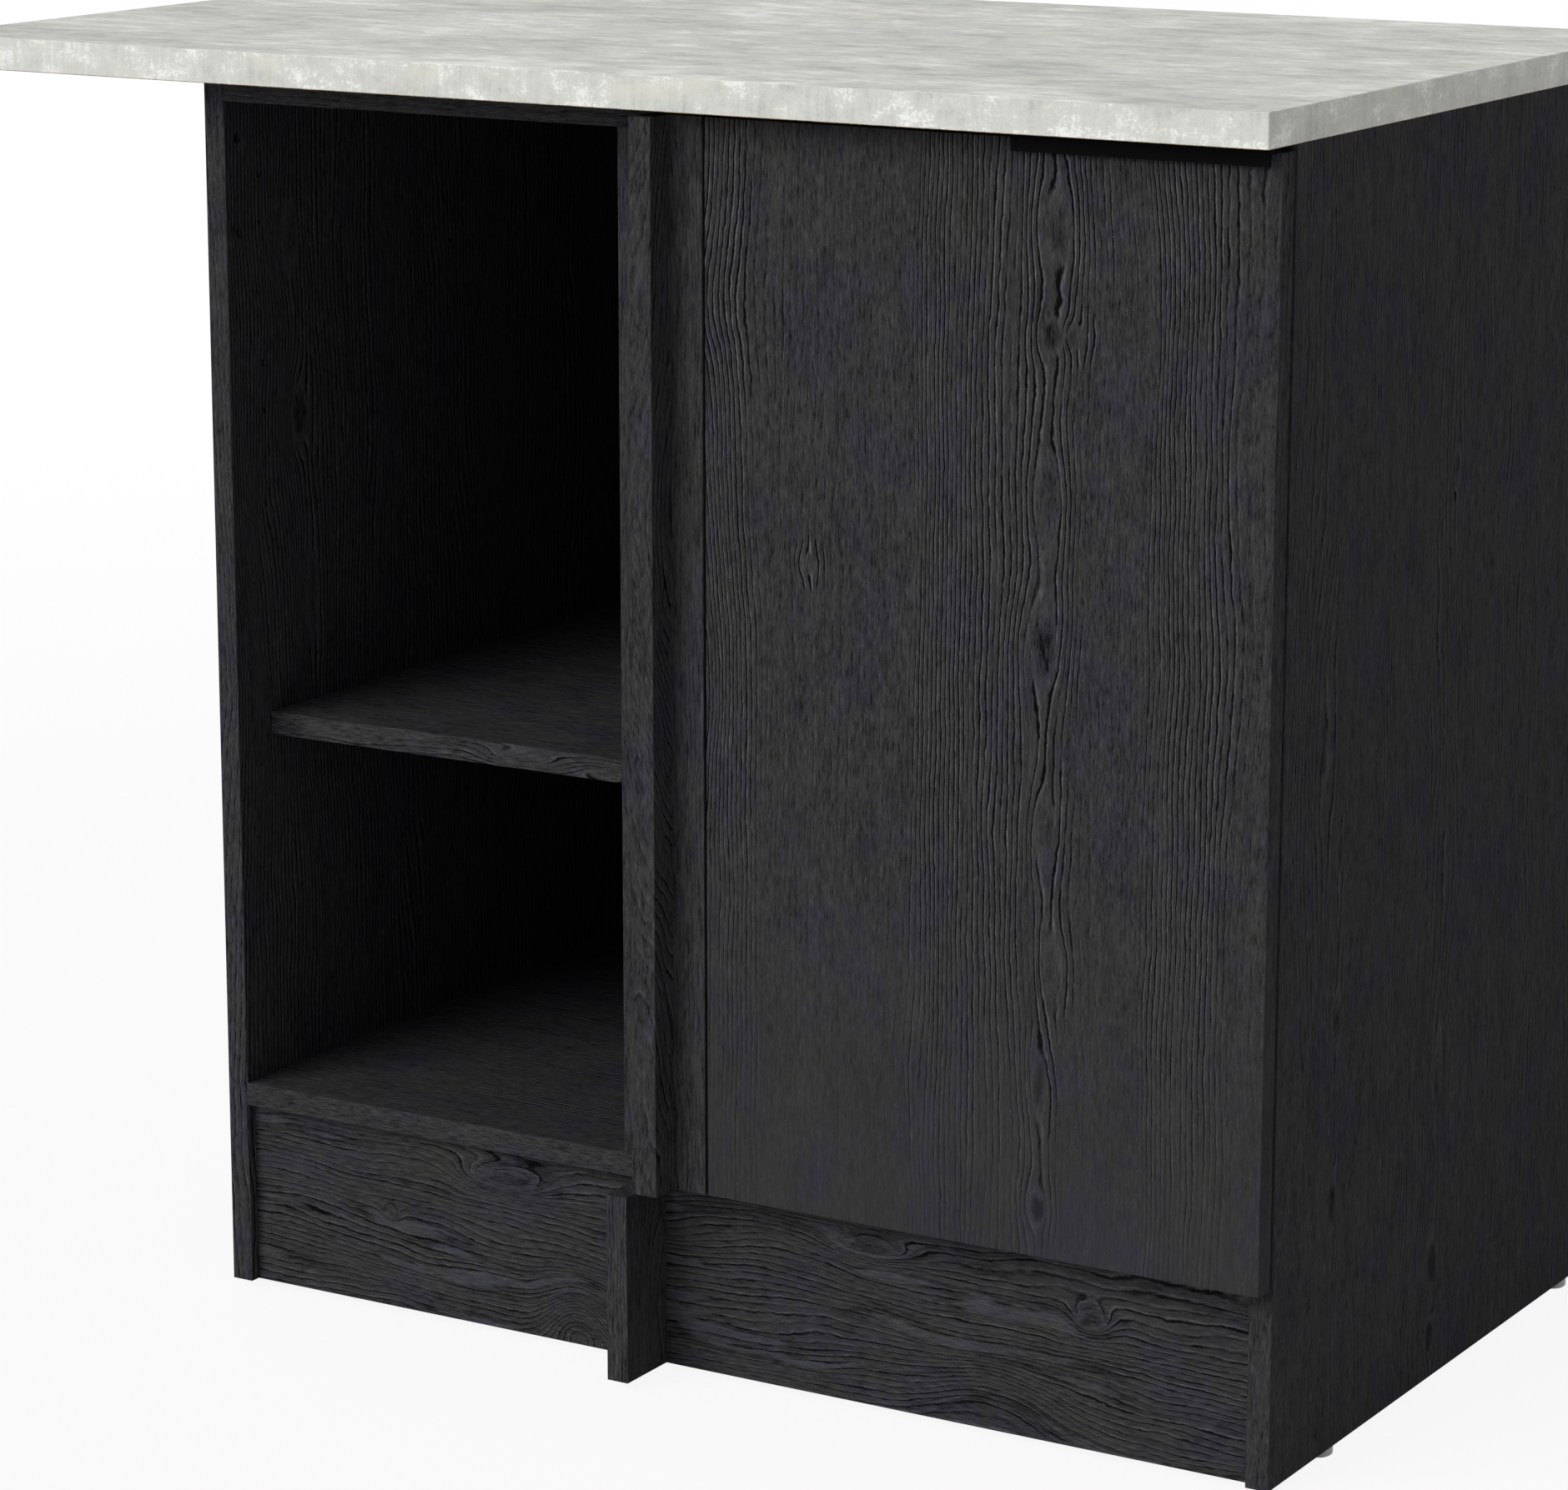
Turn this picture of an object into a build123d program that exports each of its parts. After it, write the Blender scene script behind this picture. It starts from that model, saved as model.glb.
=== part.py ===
from build123d import *
import os

os.makedirs("parts", exist_ok=True)

# A blind-corner base cabinet: an open left bay, a corner post, and a right bay with a door.
# Millimetres. +X runs to the right, +Y into the cabinet, +Z up. The origin is on the floor,
# under the middle of the worktop.

# Worktop
worktop_length = 1000.0
worktop_depth = 600.0
worktop_thickness = 22.0
worktop_overhang = 40.0
worktop_bevel = 0.4

# Carcass
cabinet_width = 800.0
side_height = 838.0
board = 16.0
plinth_height = 128.0
plinth_recess = 8.0
rail_width = 100.0
shelf_height = 385.0
shelf_setback = 36.0
shelf_rear_gap = 16.0
shelf_side_gap = 1.0
back_thickness = 3.0
back_inset = 2.0
edge_round = 0.5

# Corner post, from the left panel's inner face to the right
open_bay_width = 310.0
return_offset = 34.0
filler_front_width = 24.0
post_projection = 40.0
stile_overlap = 10.0
foot_offset = 11.0
foot_depth = 200.0
cleat_height = 22.0
cleat_thickness = 8.0

# Door
door_thickness = 16.0
door_gap = 2.0
door_side_gap = 2.0
door_edge_inset = 1.0
door_end_gap = 4.0
bumper_radius = 4.0
bumper_thickness = 1.7
bumper_inset = 8.0

# Edge pull on the door's top edge
pull_length = 172.0
pull_inset = 6.0
pull_wall = 2.0
pull_drop = 8.0
pull_standoff = 3.0
pull_rear_gap = 1.0
pull_bend_radius = 1.2
pull_screw_inset = 22.0
pull_screw_length = 20.0
pull_screw_count = 3

# Concealed hinge. Its cup, pins and link are placed from the door's hinge edge and back face.
hinge_end_distance = 100.0
cup_edge_distance = 22.5
cup_radius = 17.4
cup_wall = 1.1
cup_floor = 1.0
cup_depth = 12.5
cup_flange_radius = 19.0
cup_flange_thickness = 1.0
cup_ear_width = 12.0
cup_ear_reach = 30.0
cup_screw_spacing = 48.0
cup_screw_length = 12.0
cup_pin_edge_distance = 11.5
cup_pin_depth = 4.0
cup_pin_radius = 1.3
cup_pin_bite = 0.2
arm_pin_edge_distance = 30.5
arm_pin_rise = 2.8
arm_pin_radius = 1.5
pivot_clearance = 0.1
link_width = 8.0
link_wall = 1.8
link_bend_radius = 1.6
link_cup_eye_radius = 2.6
link_arm_eye_radius = 2.8
link_bow_depth = 9.3
link_bow_start = 2.4
link_bow_end = 5.7
link_shoulder_depth = 4.8
link_shoulder_offset = 2.9
arm_nose_radius = 3.8
arm_wall = 1.6
arm_side_clearance = 0.4
arm_height = 11.0
arm_pin_room = 4.5
arm_corner_radius = 2.5
plate_base = 3.0
plate_rise = 8.0
plate_length = 32.0
plate_edge_distance = 4.0
plate_margin = 2.0
plate_wing_width = 16.0
plate_wing_end = 8.0
plate_screw_spacing = 32.0
plate_screw_length = 15.0

# Fittings
hole_clearance = 0.1
dowel_radius = 4.0
dowel_length = 30.0
dowel_in_face = 10.0
dowel_inset = 28.0
cleat_dowel_length = 25.0
cleat_dowel_in_cleat = 5.0
cam_radius = 7.5
cam_depth = 12.0
cam_end_distance = 34.0
cam_slot_overrun = 1.0
bolt_radius = 3.0
bolt_in_face = 11.0
bolt_passage_radius = 4.0
bolt_head_radius = 3.4
bolt_head_length = 2.5
bolt_neck_radius = 2.0
bolt_neck_length = 7.5
bolt_inset = 60.0
screw_radius = 2.0
screw_head_radius = 4.0
screw_head_height = 2.0
thin_screw_radius = 1.75
thin_head_radius = 3.2
thin_head_height = 1.8
recess_width = 0.9
recess_depth = 1.2
recess_rim = 1.3
filler_screw_bite = 12.0
return_screw_bite = 30.0
filler_screw_inset = 50.0
filler_screw_count = 3
worktop_screw_bite = 11.0
worktop_screw_inset = 120.0
worktop_screw_count = 3
shelf_pin_radius = 2.5
shelf_pin_reach = 8.0
shelf_pin_in_face = 9.0
shelf_pin_inset = 45.0
glide_radius = 10.0
glide_height = 6.0
glide_bevel = 1.0
glide_bevel_angle = 45.0
glide_inset_front = 93.0
glide_inset_rear = 80.0
glide_nail_radius = 1.5
glide_nail_length = 14.0
block_size = 18.0
block_length = 24.0
block_inset = 64.0
block_screw_bite = 11.0
panel_pin_radius = 0.7
panel_pin_head_radius = 1.6
panel_pin_head = 0.6
panel_pin_length = 20.0
panel_pin_spacing = 150.0
panel_pin_inset = 16.0
middle_pin_inset = 32.0
strip_flange = 1.0
strip_flange_width = 12.0
strip_web = 1.5

# Open bores in the side panels' inner faces: each from the front edge and from the panel's foot
system_line = 37.0
system_pitch = 32.0
system_start = 450.0
system_steps = (0, 3, 5, 6, 9, 10)
system_radius = 2.5
system_depth = 10.0
plate_bores = ((14.5, 733.0), (14.5, 796.5))
plate_bore_radius = 4.0
rear_bores = ((230.0, 770.0), (262.0, 701.0))

# Planes that the pieces share
right_x = worktop_length / 2
left_x = right_x - cabinet_width
inner_left_x = left_x + board
inner_right_x = right_x - board
worktop_front_y = -worktop_depth / 2
worktop_rear_y = worktop_depth / 2
front_y = worktop_front_y + worktop_overhang
back_rear_y = worktop_rear_y - strip_flange
panel_rear_y = back_rear_y - back_thickness
foot_z = glide_height
bottom_z = foot_z + plinth_height
floor_z = bottom_z + board
side_top_z = foot_z + side_height
rail_z = side_top_z - board
shelf_z = foot_z + shelf_height
worktop_top_z = side_top_z + worktop_thickness

stile_x0 = inner_left_x + open_bay_width
return_x0 = stile_x0 + return_offset
return_x1 = return_x0 + board
filler_x1 = return_x1 + filler_front_width
door_x0 = filler_x1 + door_side_gap
door_x1 = right_x - door_edge_inset
stile_x1 = door_x0 + stile_overlap
stile_rear_y = front_y + board
foot_x0 = stile_x0 + foot_offset
foot_x1 = foot_x0 + board
post_front_y = front_y - post_projection
foot_rear_y = front_y + foot_depth
plinth_y0 = front_y + plinth_recess
plinth_y1 = plinth_y0 + board
rail_front_y1 = front_y + rail_width
rail_rear_y0 = panel_rear_y - rail_width
shelf_y0 = front_y + shelf_setback
shelf_y1 = panel_rear_y - shelf_rear_gap
door_back_y = front_y - door_gap
door_front_y = door_back_y - door_thickness
door_z0 = bottom_z + door_end_gap
door_z1 = side_top_z - door_end_gap

right = (1, 0, 0)
left = (-1, 0, 0)
rearward = (0, 1, 0)
forward = (0, -1, 0)
up = (0, 0, 1)
down = (0, 0, -1)
sides = ((inner_left_x, right), (inner_right_x, left))


def slab(x0, x1, y0, y1, z0, z1, mode=Mode.ADD):
    """A rectangular block between two corners."""
    with Locations(((x0 + x1) / 2, (y0 + y1) / 2, (z0 + z1) / 2)):
        Box(x1 - x0, y1 - y0, z1 - z0, mode=mode)


def rod(start, direction, radius, length, mode=Mode.ADD):
    """A round bar that starts at a point and runs along a direction."""
    with Locations(Plane(origin=start, z_dir=direction)):
        Cylinder(radius, length, align=(Align.CENTER, Align.CENTER, Align.MIN), mode=mode)


def bore(start, direction, radius, depth):
    """An open round hole that starts on a face and runs into the piece."""
    rod(start, direction, radius, depth, mode=Mode.SUBTRACT)


def socket(start, direction, radius, depth):
    """A hole for something of the given radius, with the usual clearance."""
    bore(start, direction, radius + hole_clearance, depth)


def cross_recess(centre, direction, head_radius):
    """A cross for the driver, cut into a head from the middle of its face along a direction."""
    span = 2 * (head_radius - recess_rim)
    with Locations(Plane(origin=centre, z_dir=direction)):
        for length, width in ((span, recess_width), (recess_width, span)):
            Box(length, width, recess_depth, align=(Align.CENTER, Align.CENTER, Align.MIN),
                mode=Mode.SUBTRACT)


def screw(seat, direction, radius, length, head_radius, head_height):
    """A screw whose head sits on a face at the seat, with its shank running along a direction."""
    rod(seat, direction, radius, length)
    outward = tuple(-part for part in direction)
    rod(seat, outward, head_radius, head_height)
    top = tuple(place + part * head_height for place, part in zip(seat, outward))
    cross_recess(top, direction, head_radius)


def spread(start, end, count):
    """Evenly spaced values, both ends included."""
    return [start + (end - start) * i / (count - 1) for i in range(count)]


def ease(builder, axis, sorting):
    """Rounds the edges along one axis on the side where another axis is lowest."""
    fillet(builder.edges().filter_by(axis).group_by(sorting)[0], edge_round)


def finish(name, builder):
    """Labels a finished piece and writes it."""
    builder.part.label = name
    export_step(builder.part, "parts/" + name + ".step")


# Carcass joints: the heights of the horizontal boards, and where their cam bolts and dowels sit
carcass_middle_y = (front_y + panel_rear_y) / 2
bolt_ys = (front_y + bolt_inset, panel_rear_y - bolt_inset)
dowel_ys = (front_y + dowel_inset, panel_rear_y - dowel_inset)
bottom_dowel_ys = dowel_ys + (carcass_middle_y,)
bottom_joint = (bottom_z, bolt_ys, bottom_dowel_ys)
front_rail_joint = (rail_z, bolt_ys[:1], dowel_ys[:1])
rear_rail_joint = (rail_z, bolt_ys[1:], dowel_ys[1:])
joints = (bottom_joint, front_rail_joint, rear_rail_joint)

dowel_in_end = dowel_length - dowel_in_face
bolt_tip = cam_end_distance + bolt_head_length / 2
neck_start = bolt_tip - bolt_head_length - bolt_neck_length

# Dowels of the corner post
stile_dowel_xs = (stile_x0 + board, stile_x1 - board)
stile_dowel_y = (front_y + stile_rear_y) / 2
foot_dowel_x = (foot_x0 + foot_x1) / 2
foot_dowel_ys = (front_y + dowel_inset + board, foot_rear_y - dowel_inset)
cleat_dowel_x = return_x0 - board / 2
cleat_dowel_z = (bottom_z + floor_z) / 2

# Screws of the fillers and the worktop
filler_screw_x = (return_x1 + filler_x1) / 2
return_screw_x = (return_x0 + return_x1) / 2
filler_screw_zs = spread(door_z0 + filler_screw_inset, door_z1 - filler_screw_inset,
                         filler_screw_count)
worktop_screw_xs = spread(left_x + worktop_screw_inset, right_x - worktop_screw_inset,
                          worktop_screw_count)
worktop_screw_ys = ((front_y + rail_front_y1) / 2, (rail_rear_y0 + panel_rear_y) / 2)

# Shelf pins, glides, and the blocks behind the plinth boards
shelf_pin_z = shelf_z - shelf_pin_radius
shelf_pin_ys = (shelf_y0 + shelf_pin_inset, shelf_y1 - shelf_pin_inset)
glide_xs = (left_x + glide_radius, right_x - glide_radius)
glide_ys = (front_y + glide_inset_front, panel_rear_y - glide_inset_rear)
plinths = ((inner_left_x, foot_x0), (foot_x1, inner_right_x))
block_xs = [x for x0, x1 in plinths for x in (x0 + block_inset, x1 - block_inset)]
block_z0 = bottom_z - block_size
block_rear_y = plinth_y1 + block_size
block_screw_z = bottom_z - block_size / 4
block_screw_y = plinth_y1 + block_size / 4
block_screw_shift = block_length / 4

# Panel pins through the back: up the side panels, and along the bottom and the rear rail
side_pin_xs = ((left_x + inner_left_x) / 2, (inner_right_x + right_x) / 2)
back_middle_x = (left_x + right_x) / 2
side_pin_count = round((rail_z - floor_z) / panel_pin_spacing) + 1
side_pin_zs = spread(floor_z + panel_pin_inset, rail_z - panel_pin_inset, side_pin_count)
cross_pin_count = round(cabinet_width / 2 / panel_pin_spacing) + 1
cross_pin_xs = (spread(inner_left_x + panel_pin_inset, back_middle_x - middle_pin_inset, cross_pin_count)
                + spread(back_middle_x + middle_pin_inset, inner_right_x - panel_pin_inset, cross_pin_count))
cross_pin_zs = ((bottom_z + floor_z) / 2, (rail_z + side_top_z) / 2)
panel_pin_bite = panel_pin_length - back_thickness
side_pin_places = [(x, z) for x in side_pin_xs for z in side_pin_zs]
cross_pin_places = [(x, z) for x in cross_pin_xs for z in cross_pin_zs]
panel_pin_places = side_pin_places + cross_pin_places

# Hinge: heights, pin axes in plan, and the parts of the plate and the arm
hinge_zs = (door_z0 + hinge_end_distance, door_z1 - hinge_end_distance)
cup_x = door_x0 + cup_edge_distance
cup_screw_x = cup_x + cup_ear_width / 2
cup_pin_x = door_x0 + cup_pin_edge_distance
cup_pin_y = door_back_y - cup_pin_depth
arm_pin_x = door_x0 + arm_pin_edge_distance
arm_pin_y = door_back_y + arm_pin_rise
cup_inner_radius = cup_radius - cup_wall
cup_pin_half = (cup_inner_radius ** 2 - (cup_x - cup_pin_x) ** 2) ** 0.5 + cup_pin_bite
arm_inner_half = link_width / 2 + arm_side_clearance
arm_half = arm_inner_half + arm_wall
arm_front_y = stile_rear_y + plate_base
arm_rear_y = arm_front_y + arm_height
plate_x1 = stile_x1 - plate_edge_distance
plate_x0 = plate_x1 - plate_length
plate_x = (plate_x0 + plate_x1) / 2
plate_screw_offsets = (-plate_screw_spacing / 2, plate_screw_spacing / 2)
plate_screw_bite = plate_screw_length - plate_base


# Side panels, with the bores in their inner faces
def side_panel(outer_x, inner_x, outward):
    """One side panel: the board and every hole in it."""
    slab(min(outer_x, inner_x), max(outer_x, inner_x), front_y, panel_rear_y, foot_z, side_top_z)
    for z, bolts, dowels in joints:
        for y in bolts:
            socket((inner_x, y, z + board / 2), outward, bolt_radius, bolt_in_face)
        for y in dowels:
            socket((inner_x, y, z + board / 2), outward, dowel_radius, dowel_in_face)
    for step in system_steps:
        z = foot_z + system_start + system_pitch * step
        bore((inner_x, front_y + system_line, z), outward, system_radius, system_depth)
    for y, z in plate_bores:
        bore((inner_x, front_y + y, foot_z + z), outward, plate_bore_radius, system_depth)
    for y, z in rear_bores:
        bore((inner_x, front_y + y, foot_z + z), outward, system_radius, system_depth)
    for y in shelf_pin_ys:
        socket((inner_x, y, shelf_pin_z), outward, shelf_pin_radius, shelf_pin_in_face)
    for y in glide_ys:
        socket((outer_x - outward[0] * glide_radius, y, foot_z), up, glide_nail_radius, glide_nail_length)
    core_x = (outer_x + inner_x) / 2
    for z in side_pin_zs:
        socket((core_x, panel_rear_y, z), forward, panel_pin_radius, panel_pin_bite)


with BuildPart() as side_panel_left:
    side_panel(left_x, inner_left_x, left)
    ease(side_panel_left, Axis.Z, Axis.Y)
finish("side_panel_left", side_panel_left)

with BuildPart() as side_panel_right:
    side_panel(right_x, inner_right_x, right)
    ease(side_panel_right, Axis.Z, Axis.Y)
finish("side_panel_right", side_panel_right)


def end_bores(joint):
    """The bores in both ends of a horizontal board, and the cam pockets in its underside."""
    z, bolts, dowels = joint
    for x, inward in sides:
        for y in bolts:
            bore((x, y, z + board / 2), inward, bolt_passage_radius, bolt_tip)
            socket((x + inward[0] * cam_end_distance, y, z), up, cam_radius, cam_depth)
        for y in dowels:
            socket((x, y, z + board / 2), inward, dowel_radius, dowel_in_end)


# Bottom panel
with BuildPart() as bottom_panel:
    slab(inner_left_x, inner_right_x, front_y, panel_rear_y, bottom_z, floor_z)
    ease(bottom_panel, Axis.X, Axis.Y)
    end_bores(bottom_joint)
    for x in stile_dowel_xs:
        socket((x, stile_dowel_y, floor_z), down, dowel_radius, dowel_in_face)
    for y in foot_dowel_ys:
        socket((foot_dowel_x, y, bottom_z), up, dowel_radius, dowel_in_face)
    cleat_dowel_bite = cleat_dowel_length - cleat_dowel_in_cleat
    socket((cleat_dowel_x, front_y, cleat_dowel_z), rearward, dowel_radius, cleat_dowel_bite)
    for x in block_xs:
        socket((x + block_screw_shift, block_screw_y, bottom_z), up, thin_screw_radius, block_screw_bite)
    for x in cross_pin_xs:
        socket((x, panel_rear_y, cross_pin_zs[0]), forward, panel_pin_radius, panel_pin_bite)
finish("bottom_panel", bottom_panel)

# Top rails, laid flat under the worktop at the front and at the rear
with BuildPart() as top_rail_front:
    slab(inner_left_x, inner_right_x, front_y, rail_front_y1, rail_z, side_top_z)
    ease(top_rail_front, Axis.X, Axis.Y)
    end_bores(front_rail_joint)
    for x in stile_dowel_xs:
        socket((x, stile_dowel_y, rail_z), up, dowel_radius, dowel_in_face)
    for x in worktop_screw_xs:
        socket((x, worktop_screw_ys[0], rail_z), up, screw_radius, board)
finish("top_rail_front", top_rail_front)

with BuildPart() as top_rail_rear:
    slab(inner_left_x, inner_right_x, rail_rear_y0, panel_rear_y, rail_z, side_top_z)
    ease(top_rail_rear, Axis.X, Axis.Y)
    end_bores(rear_rail_joint)
    for x in worktop_screw_xs:
        socket((x, worktop_screw_ys[1], rail_z), up, screw_radius, board)
    for x in cross_pin_xs:
        socket((x, panel_rear_y, cross_pin_zs[1]), forward, panel_pin_radius, panel_pin_bite)
finish("top_rail_rear", top_rail_rear)

# Shelf, lying loose on its four pins
with BuildPart() as shelf:
    shelf_x0 = inner_left_x + shelf_side_gap
    shelf_x1 = inner_right_x - shelf_side_gap
    slab(shelf_x0, shelf_x1, shelf_y0, shelf_y1, shelf_z, shelf_z + board)
    ease(shelf, Axis.X, Axis.Y)
finish("shelf", shelf)

with BuildPart() as shelf_pins:
    for x, inward in sides:
        for y in shelf_pin_ys:
            start = (x - inward[0] * shelf_pin_in_face, y, shelf_pin_z)
            rod(start, inward, shelf_pin_radius, shelf_pin_in_face + shelf_pin_reach)
finish("shelf_pins", shelf_pins)

# Corner post: the stile in the carcass front, and the two filler strips ahead of it
with BuildPart() as centre_stile:
    slab(stile_x0, stile_x1, front_y, stile_rear_y, floor_z, rail_z)
    ease(centre_stile, Axis.Z, Axis.Y)
    for x in stile_dowel_xs:
        socket((x, stile_dowel_y, floor_z), up, dowel_radius, dowel_in_end)
        socket((x, stile_dowel_y, rail_z), down, dowel_radius, dowel_in_end)
    for z in filler_screw_zs:
        for x in (return_screw_x, filler_screw_x):
            socket((x, stile_rear_y, z), forward, screw_radius, board)
    for hinge_z in hinge_zs:
        for offset in plate_screw_offsets:
            socket((plate_x, stile_rear_y, hinge_z + offset), forward, thin_screw_radius, plate_screw_bite)
finish("centre_stile", centre_stile)

with BuildPart() as filler_front:
    slab(return_x1, filler_x1, door_front_y, front_y, door_z0, door_z1)
    fillet(filler_front.edges().filter_by(Axis.Z).group_by(Axis.Y)[0].sort_by(Axis.X)[-1], edge_round)
    for z in filler_screw_zs:
        socket((filler_screw_x, front_y, z), forward, screw_radius, filler_screw_bite)
finish("filler_front", filler_front)

with BuildPart() as filler_return:
    slab(return_x0, return_x1, post_front_y, front_y, door_z0, door_z1)
    ease(filler_return, Axis.Z, Axis.Y)
    for z in filler_screw_zs:
        socket((return_screw_x, front_y, z), forward, screw_radius, return_screw_bite)
finish("filler_return", filler_return)

with BuildPart() as filler_screws:
    for z in filler_screw_zs:
        for x, bite in ((filler_screw_x, filler_screw_bite), (return_screw_x, return_screw_bite)):
            seat = (x, stile_rear_y, z)
            screw(seat, forward, screw_radius, board + bite, screw_head_radius, screw_head_height)
finish("filler_screws", filler_screws)

# Cleat that closes the corner above the foot, left of the return strip
with BuildPart() as filler_cleat:
    cleat_y0 = front_y - cleat_thickness
    slab(foot_x0, return_x0, cleat_y0, front_y, bottom_z, bottom_z + cleat_height)
    socket((cleat_dowel_x, front_y, cleat_dowel_z), forward, dowel_radius, cleat_dowel_in_cleat)
finish("filler_cleat", filler_cleat)

# Centre foot: a board on edge under the bottom panel, reaching forward under the fillers
with BuildPart() as centre_foot:
    slab(foot_x0, foot_x1, post_front_y, foot_rear_y, foot_z, bottom_z)
    ease(centre_foot, Axis.Z, Axis.Y)
    for y in foot_dowel_ys:
        socket((foot_dowel_x, y, bottom_z), down, dowel_radius, dowel_in_end)
finish("centre_foot", centre_foot)

with BuildPart() as post_dowels:
    for x in stile_dowel_xs:
        rod((x, stile_dowel_y, floor_z - dowel_in_face), up, dowel_radius, dowel_length)
        rod((x, stile_dowel_y, rail_z + dowel_in_face), down, dowel_radius, dowel_length)
    for y in foot_dowel_ys:
        rod((foot_dowel_x, y, bottom_z + dowel_in_face), down, dowel_radius, dowel_length)
    cleat_dowel_y = front_y - cleat_dowel_in_cleat
    rod((cleat_dowel_x, cleat_dowel_y, cleat_dowel_z), rearward, dowel_radius, cleat_dowel_length)
finish("post_dowels", post_dowels)


# Plinth boards, each between a side panel and the foot, with two corner blocks behind it
def plinth(x0, x1):
    """One plinth board with the holes for its blocks' screws."""
    slab(x0, x1, plinth_y0, plinth_y1, foot_z, bottom_z)
    for x in (x0 + block_inset, x1 - block_inset):
        start = (x - block_screw_shift, plinth_y1, block_screw_z)
        socket(start, forward, thin_screw_radius, block_screw_bite)


with BuildPart() as plinth_left:
    plinth(*plinths[0])
finish("plinth_left", plinth_left)

with BuildPart() as plinth_right:
    plinth(*plinths[1])
finish("plinth_right", plinth_right)

with BuildPart() as plinth_blocks:
    for x in block_xs:
        with BuildSketch(Plane.YZ.offset(x - block_length / 2)):
            with BuildLine():
                Polyline((plinth_y1, block_z0), (plinth_y1 + block_size / 2, block_z0),
                         (block_rear_y, bottom_z - block_size / 2), (block_rear_y, bottom_z),
                         (plinth_y1, bottom_z), close=True)
            make_face()
        extrude(amount=block_length)
        socket((x - block_screw_shift, block_rear_y, block_screw_z), forward, thin_screw_radius, block_size)
        socket((x + block_screw_shift, block_screw_y, block_z0), up, thin_screw_radius, block_size)
finish("plinth_blocks", plinth_blocks)

with BuildPart() as plinth_block_screws:
    block_screw_length = block_size + block_screw_bite
    for x in block_xs:
        for seat, direction in (((x - block_screw_shift, block_rear_y, block_screw_z), forward),
                                ((x + block_screw_shift, block_screw_y, block_z0), up)):
            screw(seat, direction, thin_screw_radius, block_screw_length, thin_head_radius, thin_head_height)
finish("plinth_block_screws", plinth_block_screws)

# Cam bolts, their locks, and the dowels between the boards and the side panels
def cam_bolt(x, y, z, inward):
    """One bolt through a side panel's face: its thread in the panel, then its neck and its head."""
    for start, radius, length in ((-bolt_in_face, bolt_radius, bolt_in_face + neck_start),
                                  (neck_start, bolt_neck_radius, bolt_neck_length),
                                  (bolt_tip - bolt_head_length, bolt_head_radius, bolt_head_length)):
        rod((x + inward[0] * start, y, z), inward, radius, length)


with BuildPart() as cam_bolts:
    for z, bolts, _ in joints:
        for x, inward in sides:
            for y in bolts:
                cam_bolt(x, y, z + board / 2, inward)
finish("cam_bolts", cam_bolts)

# Each cam is slotted from its inner end down to the bolt's axis, wide round the bolt's head
with BuildPart() as cam_locks:
    neck_half = bolt_neck_radius + hole_clearance
    head_half = bolt_head_radius + hole_clearance
    head_span = bolt_head_length / 2 + hole_clearance
    slot_reach = cam_radius + cam_slot_overrun
    for z, bolts, _ in joints:
        axis_z = z + board / 2
        for x, inward in sides:
            for y in bolts:
                cam_x = x + inward[0] * cam_end_distance
                rod((cam_x, y, z), up, cam_radius, cam_depth)
                cross_recess((cam_x, y, z), up, cam_radius)
                rim_x = cam_x - inward[0] * slot_reach
                rod((rim_x, y, axis_z), inward, neck_half, slot_reach, mode=Mode.SUBTRACT)
                slot_x = sorted((rim_x, cam_x))
                slab(*slot_x, y - neck_half, y + neck_half, axis_z, z + cam_depth, mode=Mode.SUBTRACT)
                head_x = cam_x - inward[0] * head_span
                rod((head_x, y, axis_z), inward, head_half, 2 * head_span, mode=Mode.SUBTRACT)
                slab(cam_x - head_span, cam_x + head_span, y - head_half, y + head_half,
                     axis_z, z + cam_depth, mode=Mode.SUBTRACT)
finish("cam_locks", cam_locks)

with BuildPart() as carcass_dowels:
    for z, _, dowels in joints:
        for x, inward in sides:
            for y in dowels:
                start = (x - inward[0] * dowel_in_face, y, z + board / 2)
                rod(start, inward, dowel_radius, dowel_length)
finish("carcass_dowels", carcass_dowels)


# Back: two thin panels and the strip that joins them
def back_panel(x0, x1):
    """One half of the back, with the holes for the panel pins that fall on it."""
    slab(x0, x1, panel_rear_y, back_rear_y, bottom_z + back_inset, side_top_z - back_inset)
    for x, z in panel_pin_places:
        if x0 < x < x1:
            socket((x, back_rear_y, z), forward, panel_pin_radius, back_thickness)
            socket((x, back_rear_y, z), forward, panel_pin_head_radius, panel_pin_head)


with BuildPart() as back_panel_left:
    back_panel(left_x + back_inset, back_middle_x - strip_web / 2)
finish("back_panel_left", back_panel_left)

with BuildPart() as back_panel_right:
    back_panel(back_middle_x + strip_web / 2, right_x - back_inset)
finish("back_panel_right", back_panel_right)

with BuildPart() as back_joining_strip:
    back_z0 = bottom_z + back_inset
    back_z1 = side_top_z - back_inset
    web_half = strip_web / 2
    flange_half = strip_flange_width / 2
    slab(back_middle_x - web_half, back_middle_x + web_half, panel_rear_y, back_rear_y, back_z0, back_z1)
    slab(back_middle_x - flange_half, back_middle_x + flange_half, back_rear_y, worktop_rear_y,
         back_z0, back_z1)
    slab(back_middle_x - flange_half, back_middle_x + flange_half, panel_rear_y - strip_flange,
         panel_rear_y, floor_z, rail_z)
finish("back_joining_strip", back_joining_strip)

with BuildPart() as back_pins:
    for x, z in panel_pin_places:
        rod((x, back_rear_y, z), forward, panel_pin_radius, panel_pin_length)
        rod((x, back_rear_y, z), forward, panel_pin_head_radius, panel_pin_head)
finish("back_pins", back_pins)

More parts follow.
